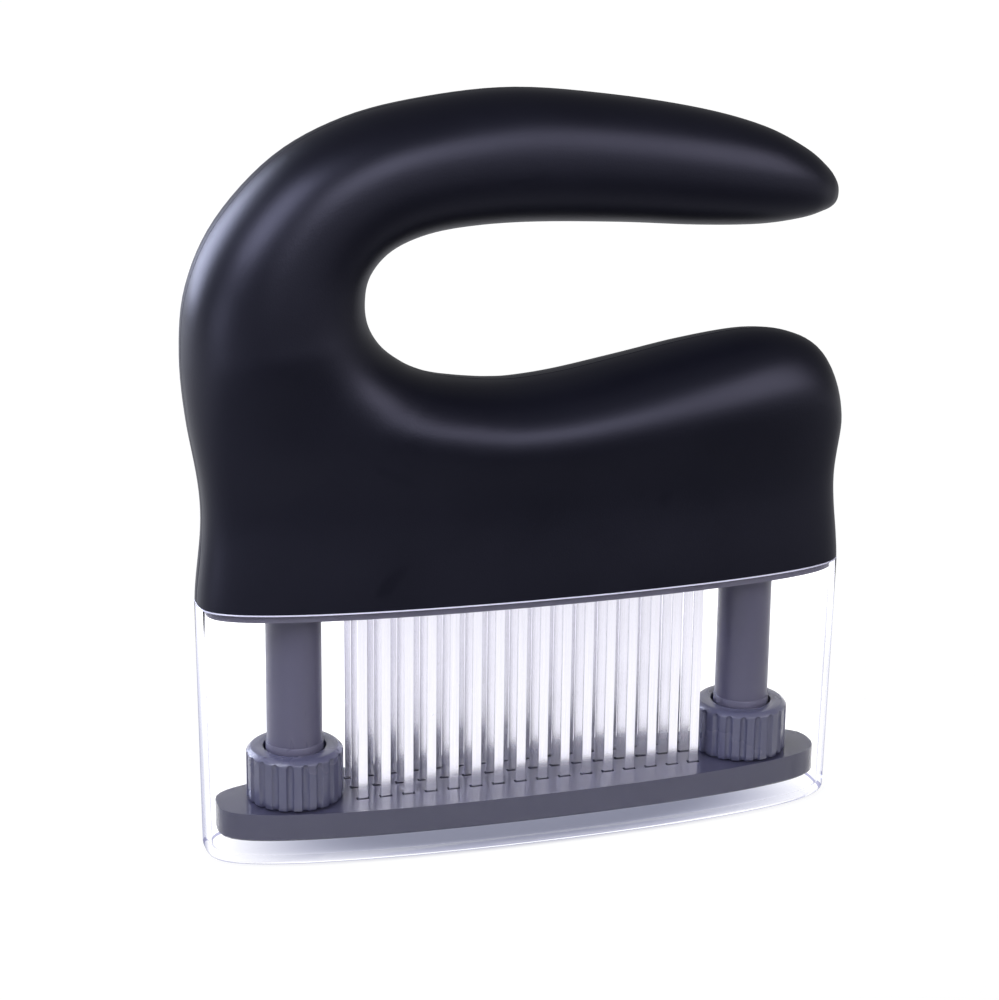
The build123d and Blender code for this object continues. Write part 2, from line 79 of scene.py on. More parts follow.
def power(base, exponent):
    """A power that keeps the base's sign."""
    return abs(base) ** exponent * (1 if base >= 0 else -1)


def ease(value, start, end):
    """A smooth step from 0 at start to 1 at end."""
    share = min(max((value - start) / (end - start), 0), 1)
    return share * share * (3 - 2 * share)


def side_reach(height, left):
    """How far the lower body reaches sideways at a height above the rim."""
    top = left_swell_top if left else right_swell_top
    extra = left_swell if left else right_swell
    flare = ease(height, waist_height, flare_low)
    swell = ease(height, waist_height, top)
    return rim_half_length - waist_pinch * (1 - flare) * (1 - swell) + extra * swell


def left_edge(height):
    """The point of the lower body's left edge at a height."""
    return -side_reach(height, True), height


def right_edge(height):
    """The point of the lower body's right edge at a height."""
    return side_reach(height, False), height


# Each section: inner and outer point as x and height above the rim, half depth, share of
# the barrel form, rounding at the inner and the outer end.
handle_sections = [
    (71.1, 83.6, 71.2, 84.7, 0.6, 0, 16, 0),
    (70.6, 82.0, 70.8, 86.3, 2.9, 0, 16, 0),
    (69.4, 80.9, 69.9, 88.1, 4.9, 0, 16, 0),
    (66.9, 80.0, 67.5, 90.8, 7.4, 0, 16, 0),
    (61.5, 78.7, 62.6, 94.6, 10.1, 0, 16, 0),
    (51.5, 77.8, 53.2, 99.3, 12.4, 0, 16, 0),
    (37.0, 78.2, 39.0, 103.3, 13.9, 0, 16, 0),
    (19.0, 79.5, 19.0, 106.7, 14.5, 0, 16, 0),
    (0.0, 80.3, -3.5, 108.8, 14.8, 0, 16, 0),
    (-13.7, 80.0, -23.4, 107.2, 15.2, 0, 16, 0),
    (-24.2, 78.6, -40.8, 103.3, 15.8, 0, 16, 0),
    (-32.1, 75.5, -56.0, 95.5, 16.5, 0, 16, 0),
    (-36.6, 70.7, -68.6, 82.4, 17.2, 0, 16, 0),
    (-37.8, 65.0, -75.1, 68.5, 17.8, 0, 16, 0),
    (-36.9, 59.4, -76.7, 54.0, 18.2, 0, 16, 0),
    (-33.6, 54.3, *left_edge(38.4), 18.8, 0.55, 16, 0),
    (-28.6, 50.4, *left_edge(24.0), 18.8, 0.85, 16, 0),
    (-24.0, 48.2, *left_edge(12.0), 18.8, 1, 16, 0),
    (-20.0, 47.1, *left_edge(1.0), 18.8, 1, 16, 0),
    (-16.4, 46.5, *left_edge(-10.0), 18.8, 1, 16, 0),
    (-12.6, 46.0, -74.2, -22.0, 18.8, 1, 16, 4),
    (-8.0, 45.6, -69.0, -36.0, 18.8, 1, 16, 12),
    (-2.0, 45.6, -55.0, -46.0, 18.8, 1, 16, 18),
    (8.0, 46.7, -30.0, -51.0, 18.8, 1, 16, 20),
    (22.0, 49.3, 0.0, -52.0, 18.8, 1, 16, 20),
    (37.0, 52.2, 25.0, -51.0, 18.8, 1, 16, 20),
    (51.0, 53.9, 42.0, -48.0, 18.8, 1, 16, 20),
    (61.5, 52.6, 52.0, -44.0, 18.8, 1, 14, 18),
    (69.0, 48.2, 58.0, -40.0, 18.8, 1, 11, 16),
    (side_reach(38.8, False) - 0.6, 38.8, 62.0, -37.0, 18.8, 1, 7, 14),
    (*right_edge(29.0), 64.5, -35.0, 18.8, 1, 3, 12),
    (*right_edge(19.0), 66.0, -33.5, 18.8, 1, 3, 12),
    (*right_edge(6.0), 67.5, -32.0, 18.8, 1, 3, 12),
    (*right_edge(-6.0), 69.0, -30.0, 18.8, 1, 3, 12),
]


def blend_sections(rows, parts):
    """The sections with others blended in between them, so that the form runs smoothly."""
    ends = [rows[0], *rows, rows[-1]]
    blended = [rows[0]]
    for before, start, end, after in zip(ends, ends[1:], ends[2:], ends[3:]):
        for step in range(1, parts + 1):
            t = step / parts
            weights = (
                (-t ** 3 + 2 * t ** 2 - t) / 2, (3 * t ** 3 - 5 * t ** 2 + 2) / 2,
                (-3 * t ** 3 + 4 * t ** 2 + t) / 2, (t ** 3 - t ** 2) / 2,
            )
            sides = zip(before, start, end, after)
            row = [sum(w * v for w, v in zip(weights, values)) for values in sides]
            blended.append((*row[:5], min(max(row[5], 0), 1), row[6], max(row[7], 0)))
    return blended


def barrel_half_depth(x, height):
    """Half depth of the barrel-shaped lower body at a point."""
    flare = ease(height, waist_height, flare_low)
    swell = ease(height, waist_height, bulge_height)
    middle = rim_half_depth - waist_pinch / 2 * (1 - flare) * (1 - swell)
    middle += (bulge_half_depth - rim_half_depth) * swell
    share = min(abs(x) / side_reach(height, x < 0), 1)
    return middle * (1 - share ** end_power) ** (1 / side_power)


def edge_cap(distance, radius):
    """Rounding of an edge: 0 on the outline, 1 once the radius is passed."""
    share = min(max(distance / radius, 0), 1) if radius > 0.001 else 1
    return sqrt(1 - (1 - share) ** 2)


def section_loop(row, side, count):
    """Points of half a section, from the seam on its inner side to the seam on its outer."""
    x_in, h_in, x_out, h_out, half, barrel, inner_round, outer_round = row
    start, end = Vector((x_in, 0, h_in)), Vector((x_out, 0, h_out))
    length = (end - start).length
    drawn = []
    for index in range(drawn_steps + 1):
        along = length * (1 - cos(pi * index / drawn_steps)) / 2
        spot = start.lerp(end, along / length)
        round_part = (1 - abs(1 - 2 * along / length) ** arm_fullness) ** (1 / arm_roundness)
        depth = (1 - barrel) * half * round_part
        if barrel:
            caps = edge_cap(along, inner_round) * edge_cap(length - along, outer_round)
            depth += barrel * barrel_half_depth(spot.x, spot.z) * caps
        on_seam = index in (0, drawn_steps)
        drawn.append(spot + Vector((0, 0 if on_seam else side * depth, 0)))
    reach = [0.0]
    for before, after in zip(drawn, drawn[1:]):
        reach.append(reach[-1] + (after - before).length)
    loop, index = [], 0
    seam = min(seam_width / reach[-1], 0.02)
    for step in range(count + 1):
        even = step / count
        spread = even_spacing * even + (1 - even_spacing) / 2 * (1 - cos(pi * even))
        share = seam + (1 - 2 * seam) * spread
        while index < drawn_steps - 1 and reach[index + 1] < reach[-1] * share:
            index += 1
        part = (reach[-1] * share - reach[index]) / (reach[index + 1] - reach[index])
        loop.append(drawn[index].lerp(drawn[index + 1], part))
    inward = (end - start).normalized() * min(seam_depth, length / 4)
    loop = [start + inward] + loop + [end - inward]
    return [Vector((p.x, p.y, p.z + rim_height)) * mm for p in loop]


def grow_edges(built, edges):
    """Extrudes a ring of edges, and gives the new vertices and the new ring."""
    grown = bmesh.ops.extrude_edge_only(built, edges=edges)["geom"]
    fresh = {item for item in grown if isinstance(item, bmesh.types.BMVert)}
    ring = [item for item in grown if isinstance(item, bmesh.types.BMEdge)
            and item.verts[0] in fresh and item.verts[1] in fresh]
    return fresh, ring


def loft(rows):
    """A skin through closed rows of points, open at its first and last row."""
    built = bmesh.new()
    loop = [built.verts.new(point) for point in rows[0]]
    edges = [built.edges.new(pair) for pair in zip(loop, loop[1:] + loop[:1])]
    for row in rows[1:]:
        fresh, edges = grow_edges(built, edges)
        loop = [next(edge.other_vert(vert) for edge in vert.link_edges
                     if edge.other_vert(vert) in fresh) for vert in loop]
        for vert, point in zip(loop, row):
            vert.co = point
    return built


def handle_half(side):
    """One half of the handle's form as a closed mesh, cut off flat at the rim."""
    sections = blend_sections(handle_sections, blended_parts)
    half = loft([section_loop(row, side, half_points) for row in sections])
    bmesh.ops.holes_fill(half, edges=[e for e in half.edges if e.is_boundary])
    cut = bmesh.ops.bisect_plane(
        half, geom=[*half.verts, *half.edges, *half.faces], dist=1e-6,
        plane_co=(0, 0, rim_height * mm), plane_no=(0, 0, 1), clear_inner=True)
    rim = [item for item in cut["geom_cut"] if isinstance(item, bmesh.types.BMEdge)]
    bmesh.ops.holes_fill(half, edges=rim)
    bmesh.ops.recalc_face_normals(half, faces=half.faces)
    return half


def place_mesh(name, built, smooth_angle=35):
    """Puts a finished bmesh in the scene as an object at the origin."""
    mesh = bpy.data.meshes.new(name)
    built.to_mesh(mesh)
    built.free()
    piece = bpy.data.objects.new(name, mesh)
    bpy.context.scene.collection.objects.link(piece)
    mesh.shade_smooth()
    mesh.set_sharp_from_angle(angle=radians(smooth_angle))
    return piece


def cut_wells(piece, places):
    """Cuts the round wells of the shell screws into a closed rear half."""
    drills = bmesh.new()
    for x, height in places:
        ring = bmesh.ops.create_circle(drills, cap_ends=True, segments=40,
                                       radius=screw_well_radius * mm)
        bmesh.ops.rotate(drills, verts=ring["verts"], matrix=Matrix.Rotation(pi / 2, 3, "X"))
        spot = Vector((x, screw_well_floor, rim_height + height)) * mm
        bmesh.ops.translate(drills, verts=ring["verts"], vec=spot)
        face = ring["verts"][0].link_faces[0]
        body = bmesh.ops.extrude_face_region(drills, geom=[face])["geom"]
        far = [item for item in body if isinstance(item, bmesh.types.BMVert)]
        bmesh.ops.translate(drills, verts=far, vec=(0, screw_well_reach * mm, 0))
    bmesh.ops.recalc_face_normals(drills, faces=drills.faces)
    cutter = place_mesh("screw_wells", drills)
    cut = piece.modifiers.new("wells", "BOOLEAN")
    cut.object, cut.operation, cut.solver = cutter, "DIFFERENCE", "EXACT"
    bpy.context.view_layer.update()
    done = piece.evaluated_get(bpy.context.evaluated_depsgraph_get())
    result = bmesh.new()
    result.from_mesh(done.to_mesh())
    done.to_mesh_clear()
    bpy.data.objects.remove(piece)
    bpy.data.objects.remove(cutter)
    return result


def open_shell(half):
    """Opens a closed half along the parting plane and the rim, and turns the rim's lip in."""
    flat = [face for face in half.faces
            if max(abs(v.co.y) for v in face.verts) < touching
            or max(abs(v.co.z - rim_height * mm) for v in face.verts) < touching]
    bmesh.ops.delete(half, geom=flat, context="FACES")
    edges = [edge for edge in half.edges if edge.is_boundary
             and max(abs(v.co.z - rim_height * mm) for v in edge.verts) < touching]
    for inset, rise in ((shell_lip, 0), (0, shell_lip_rise)):
        fresh, edges = grow_edges(half, edges)
        for vert in fresh:
            vert.co.x *= 1 - inset / rim_half_length
            vert.co.y *= 1 - inset / rim_half_depth
            vert.co.z += rise * mm
    return half


def shader_group(name, inputs, outputs):
    """An empty node group with the named sockets, and its input and output nodes."""
    group = bpy.data.node_groups.new(name, "ShaderNodeTree")
    for label, kind, value in inputs:
        socket = group.interface.new_socket(label, in_out="INPUT", socket_type=kind)
        if value is not None:
            socket.default_value = value
    for label, kind in outputs:
        group.interface.new_socket(label, in_out="OUTPUT", socket_type=kind)
    return group, group.nodes.new("NodeGroupInput"), group.nodes.new("NodeGroupOutput")


def join(tree, source, target):
    """Links one socket to another."""
    tree.links.new(source, target)


# Moulded surface: the fine spark-eroded grain of a mould, the faint cloudiness of the
# plastic's skin and the few hairline marks that handling leaves on it.
moulded, moulded_in, moulded_out = shader_group(
    "moulded_surface",
    [("Grain per metre", "NodeSocketFloat", 2600.0), ("Cloud per metre", "NodeSocketFloat", 34.0),
     ("Marks", "NodeSocketFloat", 0.4)],
    [("Height", "NodeSocketFloat"), ("Cloud", "NodeSocketFloat"), ("Mark", "NodeSocketFloat")])
where = moulded.nodes.new("ShaderNodeTexCoord")
grain = moulded.nodes.new("ShaderNodeTexNoise")
grain.inputs["Detail"].default_value = 3
join(moulded, where.outputs["Object"], grain.inputs["Vector"])
join(moulded, moulded_in.outputs["Grain per metre"], grain.inputs["Scale"])
cloud = moulded.nodes.new("ShaderNodeTexNoise")
cloud.inputs["Detail"].default_value = 4
join(moulded, where.outputs["Object"], cloud.inputs["Vector"])
join(moulded, moulded_in.outputs["Cloud per metre"], cloud.inputs["Scale"])
streak = moulded.nodes.new("ShaderNodeMapping")
streak.inputs["Rotation"].default_value = (0.3, 0.9, 0.5)
streak.inputs["Scale"].default_value = (40, 900, 60)
join(moulded, where.outputs["Object"], streak.inputs["Vector"])
scratch = moulded.nodes.new("ShaderNodeTexNoise")
scratch.inputs["Scale"].default_value = 1.0
scratch.inputs["Detail"].default_value = 2
join(moulded, streak.outputs["Vector"], scratch.inputs["Vector"])
rare = moulded.nodes.new("ShaderNodeMapRange")
rare.inputs["From Min"].default_value = 0.66
rare.inputs["From Max"].default_value = 0.74
join(moulded, scratch.outputs["Fac"], rare.inputs["Value"])
amount = moulded.nodes.new("ShaderNodeMath")
amount.operation = "MULTIPLY"
join(moulded, rare.outputs["Result"], amount.inputs[0])
join(moulded, moulded_in.outputs["Marks"], amount.inputs[1])
join(moulded, grain.outputs["Fac"], moulded_out.inputs["Height"])
join(moulded, cloud.outputs["Fac"], moulded_out.inputs["Cloud"])
join(moulded, amount.outputs["Value"], moulded_out.inputs["Mark"])


def plastic(name, dark, light, rough, rough_spread, specular, grain_scale, grain_depth, marks,
            coat=0.0):
    """A moulded plastic: two close shades clouded together, grain and hairline marks."""
    material = bpy.data.materials.new(name)
    material.use_nodes = True
    tree = material.node_tree
    shader = tree.nodes["Principled BSDF"]
    shader.inputs["Specular IOR Level"].default_value = specular
    shader.inputs["Coat Weight"].default_value = coat
    shader.inputs["Coat Roughness"].default_value = 0.12
    surface = tree.nodes.new("ShaderNodeGroup")
    surface.node_tree = moulded
    surface.inputs["Grain per metre"].default_value = grain_scale
    surface.inputs["Marks"].default_value = marks
    shade = tree.nodes.new("ShaderNodeMix")
    shade.data_type = "RGBA"
    shade.inputs["A"].default_value = (*dark, 1)
    shade.inputs["B"].default_value = (*light, 1)
    join(tree, surface.outputs["Cloud"], shade.inputs["Factor"])
    join(tree, shade.outputs["Result"], shader.inputs["Base Color"])
    spread = tree.nodes.new("ShaderNodeMapRange")
    spread.inputs["From Min"].default_value = 0.3
    spread.inputs["From Max"].default_value = 0.7
    spread.inputs["To Min"].default_value = rough - rough_spread
    spread.inputs["To Max"].default_value = rough + rough_spread
    join(tree, surface.outputs["Cloud"], spread.inputs["Value"])
    worn = tree.nodes.new("ShaderNodeMath")
    worn.operation = "SUBTRACT"
    worn.use_clamp = True
    join(tree, spread.outputs["Result"], worn.inputs[0])
    join(tree, surface.outputs["Mark"], worn.inputs[1])
    join(tree, worn.outputs["Value"], shader.inputs["Roughness"])
    bump = tree.nodes.new("ShaderNodeBump")
    bump.inputs["Strength"].default_value = 0.5
    bump.inputs["Distance"].default_value = grain_depth
    join(tree, surface.outputs["Height"], bump.inputs["Height"])
    join(tree, bump.outputs["Normal"], shader.inputs["Normal"])
    return material


def fit(piece, body, slot, *nodes):
    """Fits a piece to its body and hides the CAD nodes that it stands for; the slot is not used."""
    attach(piece, body)
    if nodes:
        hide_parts(*nodes)


satin_black = plastic(
    "satin_black_plastic", (0.0032, 0.0034, 0.0070), (0.0048, 0.0050, 0.0102), rough=0.38,
    rough_spread=0.03, specular=0.5, grain_scale=2600, grain_depth=0.00004, marks=0.06)
satin_black.node_tree.nodes["Principled BSDF"].inputs["Specular Tint"].default_value = (
    0.72, 0.72, 1.0, 1)
front_shell = place_mesh("front_shell", open_shell(handle_half(-1)))
rear_solid = place_mesh("rear_solid", handle_half(1))
rear_shell = place_mesh("rear_shell", open_shell(cut_wells(rear_solid, screw_places)))
for shell, node in ((front_shell, "front_handle_shell"), (rear_shell, "rear_handle_shell")):
    shell.data.materials.append(satin_black)
    fit(shell, "handle", node, node)

# Screws: small pan-head screws of plated steel with a cross recess. Six join the shells from
# behind, four hold the base to them and four clamp the blade holder.
def steel(name, colour, rough, across, along, streak_depth):
    """Steel with fine rolled or ground lines and slight stains."""
    material = bpy.data.materials.new(name)
    material.use_nodes = True
    tree = material.node_tree
    shader = tree.nodes["Principled BSDF"]
    shader.inputs["Metallic"].default_value = 1.0
    spot = tree.nodes.new("ShaderNodeTexCoord")
    lines = tree.nodes.new("ShaderNodeMapping")
    lines.inputs["Scale"].default_value = (across, across, along)
    join(tree, spot.outputs["Object"], lines.inputs["Vector"])
    brushed = tree.nodes.new("ShaderNodeTexNoise")
    brushed.inputs["Scale"].default_value = 1.0
    brushed.inputs["Detail"].default_value = 4
    join(tree, lines.outputs["Vector"], brushed.inputs["Vector"])
    stain = tree.nodes.new("ShaderNodeTexNoise")
    stain.inputs["Scale"].default_value = 90.0
    join(tree, spot.outputs["Object"], stain.inputs["Vector"])
    tone = tree.nodes.new("ShaderNodeMix")
    tone.data_type = "RGBA"
    tone.inputs["A"].default_value = (*[c * 0.86 for c in colour], 1)
    tone.inputs["B"].default_value = (*colour, 1)
    join(tree, brushed.outputs["Fac"], tone.inputs["Factor"])
    join(tree, tone.outputs["Result"], shader.inputs["Base Color"])
    spread = tree.nodes.new("ShaderNodeMapRange")
    spread.inputs["To Min"].default_value = rough * 0.7
    spread.inputs["To Max"].default_value = rough * 1.3
    join(tree, stain.outputs["Fac"], spread.inputs["Value"])
    join(tree, spread.outputs["Result"], shader.inputs["Roughness"])
    bump = tree.nodes.new("ShaderNodeBump")
    bump.inputs["Strength"].default_value = 0.35
    bump.inputs["Distance"].default_value = streak_depth
    join(tree, brushed.outputs["Fac"], bump.inputs["Height"])
    join(tree, bump.outputs["Normal"], shader.inputs["Normal"])
    return material


def dress(material, *nodes):
    """Gives CAD nodes that keep their own shape a finished material."""
    for node in nodes:
        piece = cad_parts[node]
        for place in piece.material_slots:
            place.link = "OBJECT"
            place.material = material
        if not piece.material_slots:
            piece.data.materials.append(material)


plated_steel = steel("plated_steel", (0.56, 0.57, 0.60), 0.28, 900, 900, 0.00001)
dress(plated_steel, "shell_screws", "base_screws", "clamp_screws")

# Housing base: the moulded floor of the handle, with the skirt that the cover grips and a
# guide for each post. It is screwed to both shells from below.
base_plastic = plastic(
    "base_plastic", (0.150, 0.145, 0.200), (0.180, 0.174, 0.235), rough=0.42,
    rough_spread=0.05, specular=0.4, grain_scale=1900, grain_depth=0.00003, marks=0.08)
dress(base_plastic, "housing_base")

# Blade holder and clamp plate: glass-filled plastic mouldings inside the handle. The blades
# hang by their heads in the holder's slots, and the plate is screwed down over them.
holder_plastic = plastic(
    "holder_plastic", (0.070, 0.070, 0.076), (0.095, 0.095, 0.102), rough=0.55,
    rough_spread=0.06, specular=0.4, grain_scale=1500, grain_depth=0.00005, marks=0.05)
dress(holder_plastic, "blade_holder", "blade_clamp_plate")

# Posts: two hollow plastic tubes, moulded closed at the foot, that slide in the base and
# carry the foot plate. A flange near the bottom lets the nut pull them down. Each profile
# below lists radius and height in millimetres.
post_x = 53.35
post_radius, post_bore = 6.15, 4.1
post_profile = [
    (0, 7.0), (5.7, 7.0), (post_radius, 7.45), (post_radius, 16.9), (8.0, 16.9), (8.2, 17.1),
    (8.2, 18.7), (8.0, 18.9), (post_radius, 18.9), (post_radius, 22.05), (6.4, 22.05),
    (6.4, 24.5), (6.32, 24.65), (post_radius, 24.65), (post_radius, 30), (post_radius, 42),
    (post_radius, 54), (post_radius, 66), (post_radius, 70.8), (5.15, 70.8), (5.15, 72.2),
    (post_radius, 72.2), (post_radius, 73.1), (5.65, 73.6), (4.6, 73.6), (post_bore, 73.1),
    (post_bore, 43), (post_bore, 13.0), (0, 13.0),
]


def turned(profile, centre_x, steps=72):
    """A form of revolution about an upright axis, from radius and height pairs."""
    built = bmesh.new()
    line = [built.verts.new((radius * mm, 0, height * mm)) for radius, height in profile]
    edges = [built.edges.new(pair) for pair in zip(line, line[1:])]
    bmesh.ops.spin(built, geom=line + edges, cent=(0, 0, 0), axis=(0, 0, 1), angle=2 * pi,
                   steps=steps, use_merge=True)
    bmesh.ops.remove_doubles(built, verts=built.verts, dist=1e-6)
    bmesh.ops.recalc_face_normals(built, faces=built.faces)
    bmesh.ops.translate(built, verts=built.verts, vec=(centre_x * mm, 0, 0))
    return built


post_plastic = plastic(
    "post_plastic", (0.098, 0.094, 0.148), (0.116, 0.111, 0.170), rough=0.34,
    rough_spread=0.05, specular=0.4, grain_scale=1200, grain_depth=0.00002, marks=0.10)
for side, x in (("left", -post_x), ("right", post_x)):
    tube = place_mesh(f"{side}_sprung_post", turned(post_profile, x), 40)
    tube.data.materials.append(post_plastic)
    fit(tube, "foot", f"{side}_post", f"{side}_post")

# Stop rings, springs and spring guides: inside the handle, a split steel ring keeps each
# post from dropping out, and a coil spring round a plastic rod pushes the post down.
spring_steel = steel("spring_steel", (0.50, 0.51, 0.54), 0.25, 1200, 1200, 0.000008)
guide_plastic = plastic(
    "guide_plastic", (0.46, 0.46, 0.44), (0.53, 0.53, 0.51), rough=0.45,
    rough_spread=0.05, specular=0.4, grain_scale=1300, grain_depth=0.00002, marks=0.03)
spring_low, spring_high = 13.0, 104.2
spring_wire, spring_radius, spring_turns = 0.9, 3.25, 20
spring_gap = 0.05
wire_sides, steps_per_turn = 10, 24


def coil_spring(centre_x):
    """One round wire wound into a compression spring, its two ends closed."""
    coil = bmesh.new()
    wire = bmesh.ops.create_circle(coil, segments=wire_sides,
                                   radius=spring_wire / 2 * mm)["verts"]
    bmesh.ops.rotate(coil, verts=wire, matrix=Matrix.Rotation(pi / 2, 3, "X"))
    first = (spring_radius, 0, spring_low + spring_wire / 2 + spring_gap)
    bmesh.ops.translate(coil, verts=wire, vec=Vector(first) * mm)
    rise = spring_high - spring_low - spring_wire - 2 * spring_gap
    steps = spring_turns * steps_per_turn
    bmesh.ops.spin(coil, geom=wire + list(coil.edges), cent=(0, 0, 0), axis=(0, 0, 1),
                   dvec=(0, 0, rise / steps * mm), angle=2 * pi * spring_turns, steps=steps)
    bmesh.ops.holes_fill(coil, edges=[edge for edge in coil.edges if edge.is_boundary])
    bmesh.ops.recalc_face_normals(coil, faces=coil.faces)
    bmesh.ops.translate(coil, verts=coil.verts, vec=(centre_x * mm, 0, 0))
    return coil


for side, x in (("left", -post_x), ("right", post_x)):
    dress(spring_steel, f"{side}_stop_ring")
    dress(guide_plastic, f"{side}_spring_guide", f"{side}_nut_washer")
    coil = place_mesh(f"{side}_coil_spring", coil_spring(x), 50)
    coil.data.materials.append(spring_steel)
    fit(coil, "handle", f"{side}_spring", f"{side}_spring")
    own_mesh(coil)

# Foot plate: a thick barrel-shaped plate, glossy on top, with a slot for each blade and a
# threaded spigot under each nut. It lies on the meat and holds it as the blades draw back.
foot_low, foot_high = 4.9, 11.5
foot_half_length, foot_half_depth = 71.1, 14.3
foot_fall, foot_edge = 0.5, 0.4
blades_per_row = 16
blade_pitch, row_pitch = 5.25, 6.1
slot_columns = [(index - (blades_per_row - 1) / 2) * blade_pitch
                for index in range(blades_per_row)]
slot_rows = [-row_pitch, 0.0, row_pitch]
slot_half_length, slot_half_width = 1.45, 0.65
field_half_length, field_half_depth = 42.5, 8.6
plan_steps = 720
foot_points = 144


def plan_points(half_length, half_depth, count):
    """Evenly spaced points of the barrel-shaped plan outline."""
    drawn = []
    for step in range(plan_steps + 1):
        angle = 2 * pi * step / plan_steps
        drawn.append(Vector((half_length * power(cos(angle), 2 / end_power),
                             half_depth * power(sin(angle), 2 / side_power), 0)))
    reach = [0.0]
    for before, after in zip(drawn, drawn[1:]):
        reach.append(reach[-1] + (after - before).length)
    points, index = [], 0
    for step in range(count):
        while reach[index + 1] < reach[-1] * step / count:
            index += 1
        part = (reach[-1] * step / count - reach[index]) / (reach[index + 1] - reach[index])
        points.append(drawn[index].lerp(drawn[index + 1], part))
    return points


def slotted_plate():
    """The foot plate with its blade slots; its top falls slightly to the front and rear."""
    plate = bmesh.new()
    lines_x = [x + s * slot_half_length for x in slot_columns for s in (-1, 1)]
    lines_x = [-field_half_length, *lines_x, field_half_length]
    lines_y = [y + s * slot_half_width for y in slot_rows for s in (-1, 1)]
    lines_y = sorted([-field_half_depth, 0.0, field_half_depth, *lines_y])
    grid = bmesh.ops.create_grid(plate, x_segments=len(lines_x) - 1,
                                 y_segments=len(lines_y) - 1, size=1)["verts"]
    for vert in grid:
        column = round((vert.co.x + 1) / 2 * (len(lines_x) - 1))
        row = round((vert.co.y + 1) / 2 * (len(lines_y) - 1))
        vert.co = Vector((lines_x[column], lines_y[row], foot_high)) * mm
    slots = []
    for face in plate.faces:
        middle = face.calc_center_median() / mm
        in_column = min(abs(middle.x - x) for x in slot_columns) < 0.5
        in_row = min(abs(middle.y - y) for y in slot_rows) < 0.5
        if in_column and in_row:
            slots.append(face)
    bmesh.ops.delete(plate, geom=slots, context="FACES")
    border = [edge for edge in plate.edges if edge.is_boundary and all(
        abs(abs(v.co.x) - field_half_length * mm) < 1e-6
        or abs(abs(v.co.y) - field_half_depth * mm) < 1e-6 for v in edge.verts)]
    outline = plan_points(foot_half_length, foot_half_depth, foot_points)
    ring = [plate.verts.new(Vector((p.x, p.y, foot_high)) * mm) for p in outline]
    rim = [plate.edges.new(pair) for pair in zip(ring, ring[1:] + ring[:1])]
    bridges = []
    for side in (-1, 1):
        tip = Vector((side * foot_half_length, 0, foot_high)) * mm
        end = min(ring, key=lambda v: (v.co - tip).length)
        inner = [v for v in grid if v.is_valid and abs(v.co.y) < 1e-7
                 and abs(v.co.x - side * field_half_length * mm) < 1e-7][0]
        bridges.append(plate.edges.new((inner, end)))
    for side in (-1, 1):
        half = [edge for edge in border + rim
                if side * (edge.verts[0].co.y + edge.verts[1].co.y) > 0]
        bmesh.ops.triangle_fill(plate, edges=half + bridges, use_beauty=True)
    down = bmesh.ops.extrude_face_region(plate, geom=list(plate.faces))["geom"]
    bmesh.ops.translate(plate, verts=[v for v in down if isinstance(v, bmesh.types.BMVert)],
                        vec=(0, 0, (foot_low - foot_high) * mm))

    def on_rim(vert):
        share = abs(vert.co.x / mm / foot_half_length) ** end_power
        return share + abs(vert.co.y / mm / foot_half_depth) ** side_power > 0.98

    walls = [edge for edge in plate.edges if all(on_rim(v) for v in edge.verts)
             and abs(edge.verts[0].co.z - edge.verts[1].co.z) > mm]
    bmesh.ops.subdivide_edges(plate, edges=walls, cuts=1, use_grid_fill=True)
    for vert in plate.verts:
        if not on_rim(vert):
            continue
        if abs(vert.co.z - foot_low * mm) < 1e-6:
            vert.co.x *= 1 - foot_edge / foot_half_length
            vert.co.y *= 1 - foot_edge / foot_half_depth
        elif vert.co.z < (foot_high - 1) * mm:
            vert.co.z = (foot_low + foot_edge) * mm
    for vert in plate.verts:
        if vert.co.z > (foot_high - 0.1) * mm:
            vert.co.z -= foot_fall * abs(vert.co.y) / foot_half_depth
    bmesh.ops.recalc_face_normals(plate, faces=plate.faces)
    return plate


foot_plastic = plastic(
    "foot_plastic", (0.056, 0.056, 0.098), (0.068, 0.067, 0.114), rough=0.20,
    rough_spread=0.03, specular=0.5, grain_scale=900, grain_depth=0.000004, marks=0.03)
foot = place_mesh("slotted_foot_plate", slotted_plate(), 25)
foot.data.materials.append(foot_plastic)
fit(foot, "foot", "foot_plate", "foot_plate")

spigot_profile = [(6.2, 11.5), (8.1, 11.5), (8.1, 16.5), (7.7, 16.9), (6.2, 16.9), (6.2, 11.5)]
thread_profile = [(8.05, 12.0), (8.48, 12.45), (8.48, 12.65), (8.05, 13.1)]
thread_pitch = 2.0
thread_turns, thread_steps = 1.6, 96


def threaded_spigot(x):
    """A short tube with a helical thread round it, both closed."""
    spigot = turned(spigot_profile, x)
    start = [spigot.verts.new(Vector((radius, 0, height)) * mm + Vector((x * mm, 0, 0)))
             for radius, height in thread_profile]
    thread = [spigot.edges.new(pair) for pair in zip(start, start[1:] + start[:1])]
    bmesh.ops.spin(spigot, geom=start + thread, cent=(x * mm, 0, 0), axis=(0, 0, 1),
                   dvec=(0, 0, thread_pitch * thread_turns / thread_steps * mm),
                   angle=2 * pi * thread_turns, steps=thread_steps)
    bmesh.ops.holes_fill(spigot, edges=[edge for edge in spigot.edges if edge.is_boundary])
    bmesh.ops.recalc_face_normals(spigot, faces=spigot.faces)
    return spigot


for side, x in (("left", -post_x), ("right", post_x)):
    stub = place_mesh(f"{side}_spigot", threaded_spigot(x), 40)
    stub.data.materials.append(foot_plastic)
    fit(stub, "foot", "foot_plate")

